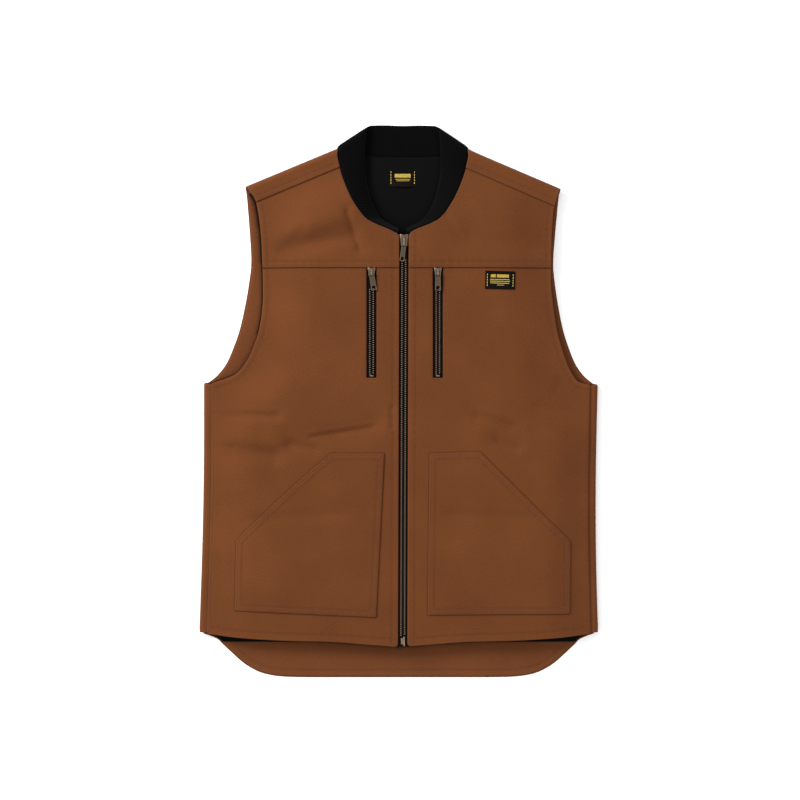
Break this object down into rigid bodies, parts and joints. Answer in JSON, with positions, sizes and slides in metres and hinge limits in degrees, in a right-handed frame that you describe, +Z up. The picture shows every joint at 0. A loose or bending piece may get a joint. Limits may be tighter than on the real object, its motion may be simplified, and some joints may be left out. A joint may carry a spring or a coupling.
{
  "type": "utility work vest",
  "caption": "Zip-front canvas work vest lying on its back, with a knit collar, a yoke, zipped chest pockets, slanted hand pockets and a longer tail at the back.",
  "frame": {"origin": "middle of the bounding box's underside, on the surface that the vest lies on", "axes": "+X to the right of the picture, +Y towards the collar, +Z up from the back to the front of the vest"},
  "size_m": [0.559, 0.7711, 0.0325],
  "materials": {
    "canvas": "brown cotton duck canvas, matt, plain weave",
    "facing": "the same brown canvas inside the armholes and the tail",
    "lining": "black lining cloth, matt",
    "rib_knit": "black rib knit, matt",
    "zip_tape": "dark woven zip tape",
    "zip_metal": "antique brass, worn bright at its edges",
    "label": "black woven label with gold stitching"
  },
  "bodies": {
    "vest": {"back_panel": "canvas", "back_yoke": "canvas", "back_lining": "lining", "back_hem_facing": "facing", "collar": "rib_knit", "neck_label": "label", "chest_label": "label", "armhole_facing_left": "facing", "front_yoke_left": "canvas", "front_panel_left": "canvas", "hand_pocket_left": "canvas", "front_zip_tape_left": "zip_tape", "chest_zip_left_tape": "zip_tape", "chest_zip_left_chain": "zip_metal", "chest_zip_left_slider": "zip_metal", "armhole_facing_right": "facing", "front_yoke_right": "canvas", "front_panel_right": "canvas", "hand_pocket_right": "canvas", "front_zip_tape_right": "zip_tape", "chest_zip_right_tape": "zip_tape", "chest_zip_right_chain": "zip_metal", "chest_zip_right_slider": "zip_metal", "front_zip_box": "zip_metal", "front_zip_chain": "zip_metal", "front_zip_slider": "zip_metal"},
    "front_pull": {"front_zip_pull": "zip_metal"},
    "left_pull": {"chest_zip_left_pull": "zip_metal"},
    "right_pull": {"chest_zip_right_pull": "zip_metal"}
  },
  "joints": [
    {"name": "front_pull_hinge", "type": "hinge", "parent": "vest", "child": "front_pull", "pos_m": [0.0073, 0.21755, 0.03035], "axis": [-0.9925, 0.1219, 0], "range_deg": [0, 165]},
    {"name": "left_pull_hinge", "type": "hinge", "parent": "vest", "child": "left_pull", "pos_m": [-0.03805, 0.17605, 0.03035], "axis": [-0.9877, -0.1564, 0], "range_deg": [0, 165]},
    {"name": "right_pull_hinge", "type": "hinge", "parent": "vest", "child": "right_pull", "pos_m": [0.05455, 0.17605, 0.03035], "axis": [-1, 0, 0], "range_deg": [0, 165]}
  ]
}
